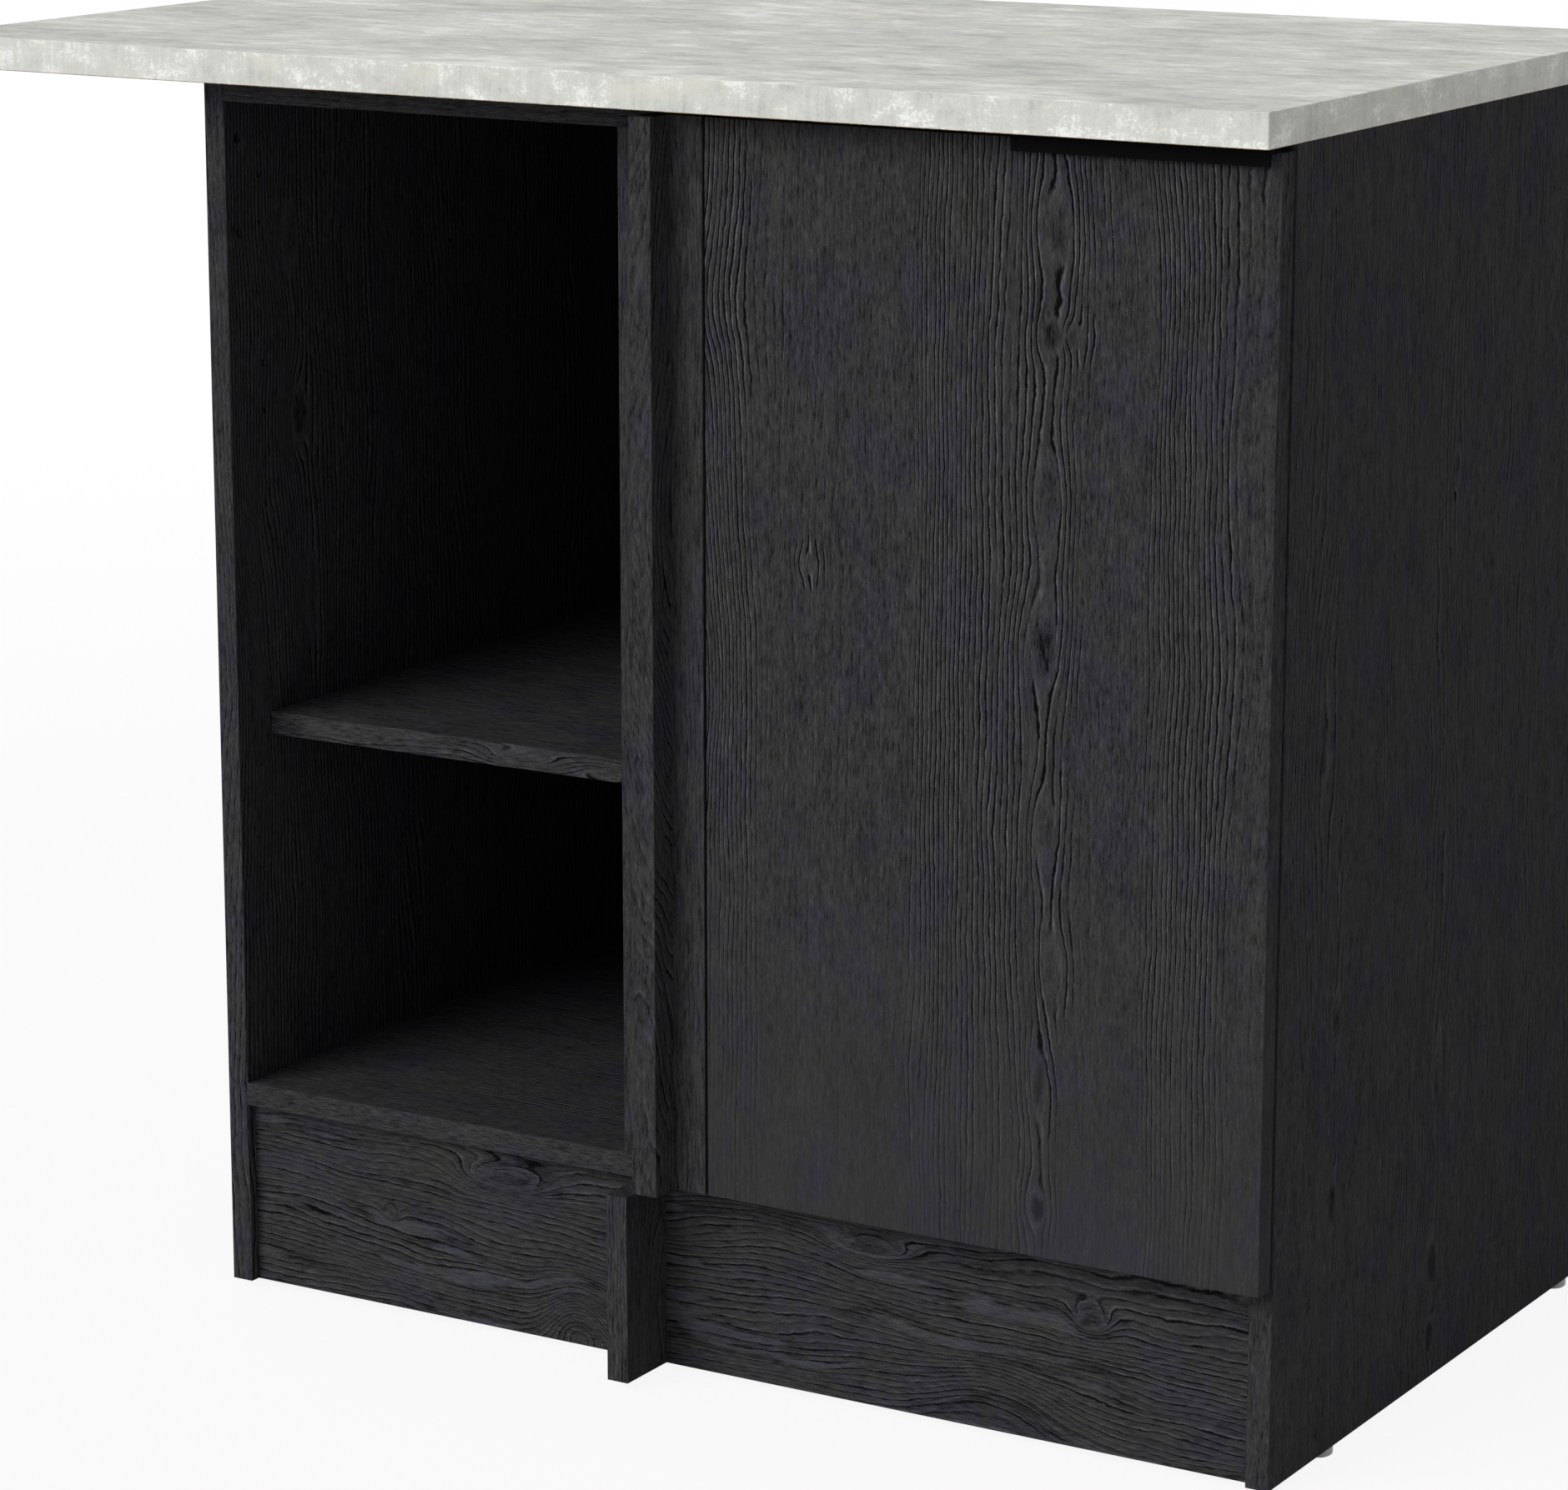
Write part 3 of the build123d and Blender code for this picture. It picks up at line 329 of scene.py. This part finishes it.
def decor(name, grain, face, seed, eyes, wander, contrast, mottle, coverage=0.5, bands=(),
          lenses=False, gather=None, fade=None, bare_from=None, edging_to=None):
    """Charcoal wood decor with an embossed grain.

    wander is how far the growth rings stray from straight, contrast how strongly they show, and
    mottle how strongly the wood between them is flecked. bands are (middle, half width, depth)
    across the grain, where rings show. Without them noise chooses the bands, by coverage.
    lenses adds long pale patches between the rings. gather is (place, period, share): the rings
    lie closest at place and widen from there, by that share, over half a period. fade is the
    stretch along the grain, (pale, strong), over which they come up from a fifth. Behind
    y = bare_from the board is bare, and in front of y = edging_to its edging is calmer.
    """
    g = material_graph(name)
    x, y, z = g.place()
    across, along = grain_coordinates(x, y, z, grain, face)
    cored = any(eye.core for eye in eyes)

    def layer(kind):
        return g.layer(grain_layers[kind], across, along, seed)

    def ring_layer(kind):
        size = ring_layers[kind]
        return g.noise(phase * size.per_ring, along / size.along, seed + size.offset,
                       detail=size.detail)

    # Where the rings run: one ring for each whole number of phase.
    slow = layer("slow")
    bow = layer("bow")
    shake = layer("shake")
    kink = layer("kink")
    phase = across / ring_pitch + slow * (stray["slow"] * wander) + bow * (stray["bow"] * wander)
    phase = phase + shake * stray["shake"] + kink * stray["kink"]
    if gather:
        closest, period, share = gather
        waves = (across - closest) * (turn / period)
        phase = phase + g.math("SINE", waves) * (share * period / (turn * ring_pitch))
    near_eye = 0.0
    core = 0.0
    halo = 0.0
    for eye in eyes:
        side = (across - eye.across) / eye.width
        end = (along - eye.along) / eye.length
        square = side * side + end * end
        distance = square + shake * eye_shake
        hump = g.math("EXPONENT", square * -1.0)
        push = side * (eye.spread * eye.width / ring_pitch)
        phase = phase + hump * (eye.rings - push)
        near_eye = near_eye + g.step(distance, *span["near eye"]) * (1.0 if eye.core else coreless)
        if eye.core:
            core = core + g.step(distance + shake * eye_shake, *span["core"]) * eye.core
            halo = halo + g.step(distance, *span["halo"])

    # Where they show, from 0 to 1.
    if bands:
        mask = 0.0
        wavy = across + bow * band_stray["bow"] + slow * band_stray["slow"]
        for middle, half_width, depth in bands:
            off = g.math("ABSOLUTE", wavy - middle)
            mask = mask + g.step(off, half_width * band_gone, half_width * band_full) * depth
    else:
        uncovered = 0.5 - coverage
        mask = g.step(layer("zone"), uncovered - zone_edge, uncovered + zone_edge)
    mask = g.math("MINIMUM", mask * (1.0 - few_rings) + few_rings + near_eye, 1.0)
    if cored:
        mask = mask * (1.0 - g.math("MINIMUM", halo, 1.0) * calmed_by["halo"])
    if edging_to is not None:
        mask = mask * (1.0 - g.step(y, edging_to + blend, edging_to) * calmed_by["edging"])
    lens, rim = 0.0, 0.0
    if lenses:
        lens_field = ring_layer("lens")
        lens = g.step(lens_field, *span["lens"])
        rim = g.step(lens_field, *span["rim"]) - lens
        mask = mask * (1.0 - lens * calmed_by["lens"])

    strong = g.step(along, *fade) if fade else 1.0

    def fading(kind):
        return faded[kind] + strong * (1.0 - faded[kind])

    # Their dark grooves, which are dark grain lines partly painted with the shade of the embossed
    # grooves, and the pale ridges beside them, which are painted highlight on the embossed ridges.
    ring_depth = ring_mean + ring_layer("depth") * ring_change + ring_layer("broken") * ring_breaks
    strength = mask * g.math("MAXIMUM", ring_depth, 0.0) * contrast * fading("ring")
    strength = strength * (1.0 + g.math("MINIMUM", near_eye, 1.0) * eye_gain)
    groove = g.step(g.math("COSINE", phase * turn), *span["groove"]) * strength
    ridge = g.step(g.math("COSINE", (phase - ridge_lag) * turn), *span["ridge"]) * strength

    # The wood between them.
    fibre = layer("fibre")
    fleck = layer("fleck") * fading("fleck")
    crack = g.step(g.math("ABSOLUTE", layer("web")), *span["crack"])
    crack = crack * (1.0 - mask * between_rings["crack"]) * fading("crack")
    open_wood = (1.0 - mask * between_rings["fibre"]) * fading("fibre")
    dash = g.step(fibre, *span["dash"]) * open_wood
    scratch = g.step(fibre, *span["scratch"]) * open_wood
    blotch = layer("blotch")
    dark_blotch = g.step(blotch, *span["dark blotch"]) * g.math("MAXIMUM", near_eye, far_blotch)
    # Painted glints: tiny dots painted far paler than the wood.
    painted_glint = g.step(layer("painted_glints"), *span["painted_glint"])

    tint = layer("tint")
    colour = g.mix(g.step(tint, *span["olive"]), linear(charcoal), linear(charcoal_olive))
    violet = g.step(tint + lens * lens_violet, *span["violet"])
    colour = g.mix(violet, colour, linear(charcoal_violet))
    # Painted highlight on the ridges, broken up by the fibres, and painted shade in the grooves.
    shade = 1.0 + ridge * (paler["ridge"] + fibre * ridge_fibre) - groove * darker["groove"]
    shade = shade + dash * paler["dash"] - scratch * darker["scratch"] - crack * darker["crack"]
    shade = shade + (fleck + blotch * paler["blotch"]) * mottle
    shade = shade + lens * paler["lens"] - rim * darker["rim"]
    shade = shade - dark_blotch * darker["dark blotch"] + painted_glint * paler["painted_glint"]
    if cored:
        shade = shade + halo * paler["halo"] - core * darker["core"]
    colour = g.tone(colour, g.math("MAXIMUM", shade, darkest))
    if bare_from is not None:
        colour = g.mix(g.step(y, bare_from, bare_from + blend), colour, chipboard(g, (x, y, z)))

    relief = relief_middle - groove * deeper["groove"] + ridge * higher["ridge"]
    relief = relief - scratch * deeper["scratch"] - crack * deeper["crack"]
    relief = relief + fleck * higher["fleck"]
    roughness = decor_roughness + groove * groove_rougher - fleck * fleck_smoother
    return g.surface(colour, roughness, g.bump(relief, relief_depth),
                     Specular_IOR_Level=matt_specular)


# The worktop's layers: along and across it on top, and around and up its edges.
concrete_layers = {
    "cloud": Layer(0.15, 0.110, 4.0, 6.0, 0.68),
    "streak": Layer(0.042, 0.018, 8.0, 6.0, 0.72),
    "thread": Layer(0.010, 0.0030, 12.0, 3.0),
    "patch": Layer(0.030, 0.022, 16.0, 5.0, 0.68),
    "grain": Layer(0.0022, 0.0022, 21.0, 4.0, 0.75),
    "run": Layer(0.0045, 0.035, 25.0, 3.0),
}

# How much each adds to the tone, and where each colour or mark starts to show and is full. The
# entry for the left end is painted light: it makes the edges paler towards the worktop's left end.
concrete_tone = {"cloud": 1.2, "streak": 1.2, "thread": 0.35, "patch": 0.8, "grain": 0.35,
                 "run": 0.35, "crumbs": 0.11, "painted light left": 0.08}
concrete_span = {"dark": (0.02, -0.26), "pale": (0.00, 0.26), "warm": (0.03, 0.18),
                 "crumbs": (0.06, 0.20), "pits": (0.305, 0.36), "painted light left": (-0.15, -0.45)}

# Warm patches are longer than wide and mix in by warm_most. Pits are as wide as long and darker.
warm_length, warm_width, warm_seed, warm_most = 0.045, 0.03, 31.0, 0.4
pit_size, pit_seed, pit_darker = 0.003, 37.0, 0.35
crumb_patches = 1.2
grain_height, tone_height, concrete_depth = 0.5, 0.2, 0.00006
concrete_roughness, tone_smoother = 0.58, 0.10

# How far the pattern runs on round the corner of two edges, for each metre of y.
round_corner = 0.9


def concrete(name, top, bare_from, paper_below):
    """Concrete-look laminate: cloudy, streaked along the worktop on top, speckled on the edges.

    The edge behind y = bare_from and the underside, below z = paper_below, are bare.
    """
    g = material_graph(name)
    x, y, z = g.place()
    on_top = g.step(z, top - 2 * blend, top - blend)
    around = x + y * round_corner

    def add_up(kinds, first, second):
        """The tone that these layers give together, and the layers."""
        total = None
        fields = {}
        for kind in kinds:
            fields[kind] = g.layer(concrete_layers[kind], first, second)
            part = fields[kind] * concrete_tone[kind]
            total = part if total is None else total + part
        return total, fields

    top_tone, _ = add_up(("cloud", "streak", "thread"), x, y)
    edge_tone, edge = add_up(("patch", "grain", "run"), around, z)
    crumbs = g.step(edge["grain"] + edge["patch"] * crumb_patches, *concrete_span["crumbs"])
    # Painted light: the edges are painted paler towards the worktop's left end.
    painted_light_left = g.step(x, *concrete_span["painted light left"])
    edge_tone = edge_tone + crumbs * concrete_tone["crumbs"] + painted_light_left * concrete_tone["painted light left"]
    tone = on_top * top_tone + (1.0 - on_top) * edge_tone

    dark = g.step(tone, *concrete_span["dark"])
    pale = g.step(tone, *concrete_span["pale"])
    colour = g.mix(dark, linear(concrete_grey), linear(concrete_dark))
    colour = g.mix(pale, colour, linear(concrete_pale))
    warm = g.noise(x / warm_length, y / warm_width + z / warm_width, warm_seed, detail=3.0)
    warm_share = g.step(warm, *concrete_span["warm"]) * warm_most
    colour = g.mix(warm_share, colour, linear(concrete_warm))
    pit_field = g.noise(around / pit_size, z / pit_size + y / pit_size, pit_seed, detail=1.0)
    pits = g.step(pit_field, *concrete_span["pits"])
    colour = g.tone(colour, 1.0 - pits * pit_darker)
    bare_rear = g.step(y, bare_from, bare_from + blend)
    bare_below = g.step(z, paper_below, paper_below - blend)
    colour = g.mix(g.math("MAXIMUM", bare_rear, bare_below), colour, chipboard(g, (x, y, z)))
    relief = edge["grain"] * grain_height + tone * tone_height - pits
    roughness = concrete_roughness - tone * tone_smoother
    return g.surface(colour, roughness, g.bump(relief, concrete_depth), Specular_IOR_Level=0.3)


def plain_wood(name, pale, dark, grain, pitch, seed):
    """Uncoated wood with fine rings and pores along one axis."""
    g = material_graph(name)
    coordinates = dict(zip("xyz", g.place()))
    along = coordinates.pop(grain)
    first, second = coordinates.values()
    wave = g.solid_noise((first, second, along), (0.03, 0.03, 0.2), seed)
    phase = (first + second * 0.6) / pitch + wave * 5.0
    ring = g.step(g.math("SINE", phase * turn), -0.2, 1.0)
    pore = g.solid_noise((first, second, along), (0.0006, 0.0006, 0.008))
    dark_share = ring * 0.55 + g.step(pore, 0.05, 0.3) * 0.35
    colour = g.mix(dark_share, linear(pale), linear(dark))
    return g.surface(colour, 0.62 + pore * 0.2, g.bump(pore - ring * 0.3, depth=0.00005))


def metal(name, colour, roughness, seed, tarnish=0.30, scuffing=0.12):
    """Plated or cast metal, with a fine scuffed finish and slight tarnish."""
    g = material_graph(name)
    x, y, z = g.place()
    scuff = g.layer(Layer(0.0004, 0.004, 0.0, 3.0, 0.7), x + y, z, seed)
    cloud = g.solid_noise((x, y, z), 3 * (0.006,), seed, detail=3.0)
    tint = g.tone(linear(colour), 1.0 + cloud * tarnish + scuff * scuffing)
    rough = roughness + scuff * 0.18 + cloud * 0.12
    return g.surface(tint, rough, g.bump(scuff, depth=0.00001), Metallic=1.0)


def moulded(name, colour, roughness, pitch, depth=0.00003, specular=0.4, unevenness=0.35,
            dustiness=0.25, **plain):
    """Moulded or powder-coated surface, with a fine even texture and a little dust."""
    g = material_graph(name)
    point = g.place()
    texture = g.solid_noise(point, 3 * (pitch,))
    dust = g.solid_noise(point, 3 * (0.02,), detail=4.0, roughness=0.65)
    tint = g.tone(linear(colour), 1.0 + texture * unevenness + dust * dustiness)
    rough = roughness + texture * 0.15 + dust * 0.10
    return g.surface(tint, rough, g.bump(texture, depth), Specular_IOR_Level=specular, **plain)


def back_board(name, outer_face):
    """Thin hardboard: dark decor towards the cabinet, bare brown fibreboard behind."""
    g = material_graph(name)
    x, y, z = g.place()
    outside = g.step(y, outer_face - 0.0004, outer_face - 0.0001)
    fibre = g.solid_noise((x, z, y), 3 * (0.0015,), detail=4.0, roughness=0.7)
    cloud = g.layer(Layer(0.06, 0.06, 3.0, 3.0), x, z)
    brown = g.mix(g.step(fibre, -0.25, 0.25), linear(hardboard_dark), linear(hardboard_pale))
    brown = g.tone(brown, 1.0 + cloud * 0.3)
    line = g.layer(Layer(0.004, 0.09, 6.0, 3.0), x, z)
    black = g.tone(linear(hardboard_black), 1.0 + line * 0.9 + fibre * 0.4)
    colour = g.mix(outside, black, brown)
    return g.surface(colour, 0.75 + fibre * 0.15, g.bump(fibre, depth=0.00008),
                     Specular_IOR_Level=0.2)


def cover(name, material):
    """Gives a node of the frame one material all over."""
    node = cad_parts[name]
    if not node.material_slots:
        node.data.materials.append(material)
    for slot in node.material_slots:
        slot.material = material


def face_of(name, axis, end):
    """A node's face: the axis it is square to, and its place there, at the low or high end."""
    return axis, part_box(name)[end]["xyz".index(axis)]


def rear_edge(name):
    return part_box(name)[rear].y - edge_skin


def front_edge(name):
    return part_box(name)[front].y + edge_skin


def board(name, grain, axis, end, seed, bare_rear=False, edging=False, eyes=(), **look):
    """Covers a board with the decor. Its main face is square to axis, at the low or high end."""
    bare_from = rear_edge(name) if bare_rear else None
    edging_to = front_edge(name) if edging else None
    cover(name, decor("decor_" + name, grain, face_of(name, axis, end), seed, eyes,
                      bare_from=bare_from, edging_to=edging_to, **look))


# Doors, panels and posts have an upright grain.
door_bands = ((0.102, 0.034, 0.7), (0.298, 0.044, 1.0), (0.446, 0.030, 0.9))
door_eyes = (
    Eye(0.344, 0.529, 0.015, 0.038, 0.3, 0.95, 0.9),
    Eye(0.350, 0.785, 0.015, 0.036, 0.4, 0.9, 0.7),
    Eye(0.348, 0.722, 0.011, 0.019, 0.5, 0.9, 0.8),
    Eye(0.364, 0.722, 0.009, 0.011, 1.0, 0.8, 0.3),
    Eye(0.346, 0.620, 0.013, 0.046, 0.4, 0.9, 0.6),
    Eye(0.344, 0.171, 0.010, 0.018, 0.3, 0.9, 0.7),
    Eye(0.347, 0.412, 0.011, 0.034, 0.6, 0.8, 0.5),
    Eye(0.353, 0.330, 0.009, 0.026, 0.4, 0.9, 0.5),
    Eye(0.345, 0.250, 0.008, 0.030, 0.4, 0.9, 0.6),
    Eye(0.178, 0.565, 0.008, 0.010, 0.5, 0.8, 0.2),
    Eye(0.075, 0.730, 0.050, 0.050, 4.5, 0.0, 0.0),
    Eye(0.060, 0.480, 0.050, 0.070, -3.5, 0.0, 0.0),
    Eye(0.430, 0.845, 0.050, 0.055, 1.8, 0.0, 0.0),
)
side_eyes = (
    Eye(-0.176, 0.172, 0.010, 0.032, 1.0, 0.9, 0.9),
    Eye(-0.176, 0.291, 0.009, 0.028, 0.9, 0.9, 0.8),
    Eye(-0.176, 0.397, 0.008, 0.024, 0.8, 0.9, 0.7),
    Eye(-0.018, 0.085, 0.013, 0.034, 2.0, 0.8, 1.0),
    Eye(-0.018, 0.035, 0.012, 0.020, 1.6, 0.8, 1.0),
    Eye(-0.018, 0.212, 0.009, 0.040, 0.5, 1.0, 0.7),
    Eye(-0.012, 0.617, 0.007, 0.022, 0.4, 1.0, 0.7),
    Eye(0.061, 0.234, 0.008, 0.030, 0.4, 0.9, 0.5),
)
inner_eyes = (
    Eye(-0.182, 0.606, 0.014, 0.036, 1.6, 0.8, 0.7),
    Eye(-0.172, 0.480, 0.012, 0.055, 0.6, 0.9, 0.4),
    Eye(-0.190, 0.730, 0.016, 0.040, 1.0, 0.7, 0.3),
)
return_eyes = (
    Eye(-0.280, 0.600, 0.200, 0.300, 17.0, 0.6, 0.0),
    Eye(-0.280, 0.220, 0.200, 0.220, -11.0, 0.5, 0.0),
)
side_look = dict(bare_rear=True, edging=True, wander=1.0, mottle=1.7)
post_look = dict(wander=1.8, mottle=2.7)
board("side_panel_right", "z", "x", rear, seed=2.0, eyes=side_eyes, coverage=0.55, contrast=0.5,
      **side_look)
board("side_panel_left", "z", "x", rear, seed=3.0, eyes=inner_eyes, coverage=0.7, contrast=1.15,
      **side_look)
board("centre_stile", "z", "y", front, seed=4.0, coverage=0.6, contrast=0.26, **post_look)
board("filler_front", "z", "y", front, seed=5.3, coverage=0.6, contrast=0.30, **post_look)
board("filler_return", "z", "x", rear, seed=6.0, edging=True, eyes=return_eyes, coverage=0.9,
      contrast=0.55, **post_look)
board("filler_cleat", "z", "y", front, seed=7.0, coverage=0.6, contrast=0.45, **post_look)
board("centre_foot", "z", "y", front, seed=8.0, coverage=0.6, contrast=0.5, **post_look)
board("door", "z", "y", front, seed=1.0, eyes=door_eyes, bands=door_bands, wander=0.7,
      contrast=1.35, mottle=1.9, gather=(0.266, 0.156, 0.38), fade=(0.10, 0.50))

# Shelves, rails and plinths have theirs along the cabinet.
plinth_left_eyes = (
    Eye(0.112, -0.075, 0.010, 0.036, 7.0, 0.0, 0.8),
    Eye(0.073, -0.170, 0.005, 0.006, 4.0, 0.0, 0.8),
    Eye(0.020, -0.017, 0.030, 0.024, -7.0, 0.0, 0.0),
)
plinth_right_eyes = (
    Eye(0.093, 0.371, 0.010, 0.014, 4.5, 0.0, 0.8),
    Eye(0.113, 0.207, 0.008, 0.032, 5.0, 0.0, 0.8),
    Eye(0.030, 0.300, 0.030, 0.060, -6.0, 0.0, 0.0),
)
shelf_eyes = (
    Eye(-0.232, -0.075, 0.006, 0.030, 3.0, 0.6, 0.3),
    Eye(-0.236, -0.010, 0.005, 0.022, -2.5, 0.5, 0.2),
)
plinth_look = dict(lenses=True, coverage=0.78, wander=1.4, contrast=0.65, mottle=1.7)
inner_look = dict(bare_rear=True, wander=1.0, contrast=0.7)
rail_look = dict(edging=True, coverage=0.6, mottle=1.7, **inner_look)
board("plinth_left", "x", "y", front, seed=11.0, eyes=plinth_left_eyes, **plinth_look)
board("plinth_right", "x", "y", front, seed=12.0, eyes=plinth_right_eyes, **plinth_look)
board("bottom_panel", "x", "z", rear, seed=13.0, edging=True, mottle=1.7, **inner_look)
board("shelf", "x", "z", rear, seed=14.0, eyes=shelf_eyes, mottle=2.6, **inner_look)
board("top_rail_front", "x", "y", front, seed=15.0, **rail_look)
board("top_rail_rear", "x", "z", front, seed=16.0, **rail_look)

worktop_low, worktop_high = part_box("worktop")
cover("worktop", concrete("concrete_laminate", worktop_high.z, worktop_high.y - edge_skin,
                          worktop_low.z + edge_skin))

back_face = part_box("back_panel_left")[rear].y
finishes = (
    (back_board("hardboard", back_face),
     ("back_panel_left", "back_panel_right")),
    (moulded("black_powder_coat", powder_black, 0.6, 0.0008, specular=0.03),
     ("edge_pull", "edge_pull_screws")),
    (metal("nickel_plate", nickel_colour, 0.30, seed=2.0),
     ("hinge_cups", "hinge_links", "hinge_arms", "hinge_plates", "hinge_cup_pins",
      "hinge_arm_pins")),
    (metal("bright_zinc", zinc_colour, 0.34, seed=5.0),
     ("hinge_cup_screws", "hinge_plate_screws", "hinge_arm_screws", "filler_screws",
      "plinth_block_screws", "worktop_screws", "cam_bolts", "back_pins", "shelf_pins")),
    (metal("cast_zinc", cast_zinc_colour, 0.48, seed=9.0),
     ("cam_locks",)),
    (plain_wood("softwood", softwood_pale, softwood_dark, "z", 0.0032, seed=1.0),
     ("plinth_blocks",)),
    (plain_wood("beech", beech_pale, beech_dark, "z", 0.0021, seed=7.0),
     ("carcass_dowels", "post_dowels")),
    (moulded("glide_plastic", glide_grey, 0.5, 0.0012),
     ("glides",)),
    (moulded("strip_plastic", strip_black, 0.5, 0.001),
     ("back_joining_strip",)),
    (moulded("bumper_plastic", bumper_clear, 0.25, 0.001, 0.00001, Transmission_Weight=0.35),
     ("door_bumpers",)),
)
for material, names in finishes:
    for name in names:
        cover(name, material)


def add_floor(half_size=16.0, fade_from=1.0, fade_to=4.0, near_share=0.90):
    """A pale floor that keeps the shadow near the cabinet and turns white further out."""
    bpy.ops.mesh.primitive_plane_add(size=2 * half_size)
    floor = bpy.context.object
    floor.name = "floor"
    g = material_graph("pale_floor")
    x, y, _ = g.place()
    distance = g.math("SQRT", x * x + y * y)
    cloud = g.noise(x / 0.4, y / 0.4, detail=3.0)
    far = g.step(distance + cloud * 0.3, fade_from, fade_to)
    share = g.shown_directly() * (near_share + far * (1.0 - near_share))
    diffuse = g.node("ShaderNodeBsdfDiffuse", Color=linear(floor_colour))
    glow = g.node("ShaderNodeEmission", Color=linear(white), Strength=1.0)
    floor.data.materials.append(g.close(g.mix_shader(share, diffuse, glow)))


def light_world(level=0.43):
    """Even sky light for the object, and plain white where the camera or a reflection sees it."""
    world = bpy.data.worlds.new("studio")
    bpy.context.scene.world = world
    g = Graph(world, "ShaderNodeOutputWorld")
    sky = g.node("ShaderNodeBackground", Color=linear(white), Strength=level)
    backdrop = g.node("ShaderNodeBackground", Color=linear(white), Strength=1.0)
    g.close(g.mix_shader(g.shown_directly(), sky, backdrop))


def add_sun(name, towards, strength, spread):
    """A soft distant lamp that shines from the direction towards, in degrees of spread."""
    lamp = bpy.data.lights.new(name, "SUN")
    lamp.energy = strength
    lamp.angle = math.radians(spread)
    sun = bpy.data.objects.new(name, lamp)
    sun.rotation_mode = "QUATERNION"
    sun.rotation_quaternion = Vector(towards).to_track_quat("Z", "Y")
    bpy.context.scene.collection.objects.link(sun)


def add_camera(place, down, turned, lens, sensor_width):
    """A camera that looks down, and is turned from straight ahead, by these degrees."""
    camera_data = bpy.data.cameras.new("camera")
    camera_data.lens = lens
    camera_data.sensor_width = sensor_width
    camera = bpy.data.objects.new("camera", camera_data)
    camera.location = place
    camera.rotation_euler = (math.radians(90 - down), 0, math.radians(turned))
    bpy.context.scene.collection.objects.link(camera)
    return camera


add_floor()
light_world()
add_sun("key", towards=(-0.42, -0.90, 0.62), strength=2.2, spread=42)
camera = add_camera(place=(1.7896, -2.9932, 1.1755), down=12.967, turned=30.973, lens=117.9,
                    sensor_width=36.0)
bpy.context.scene.camera = camera
bpy.context.scene.view_settings.view_transform = "Standard"
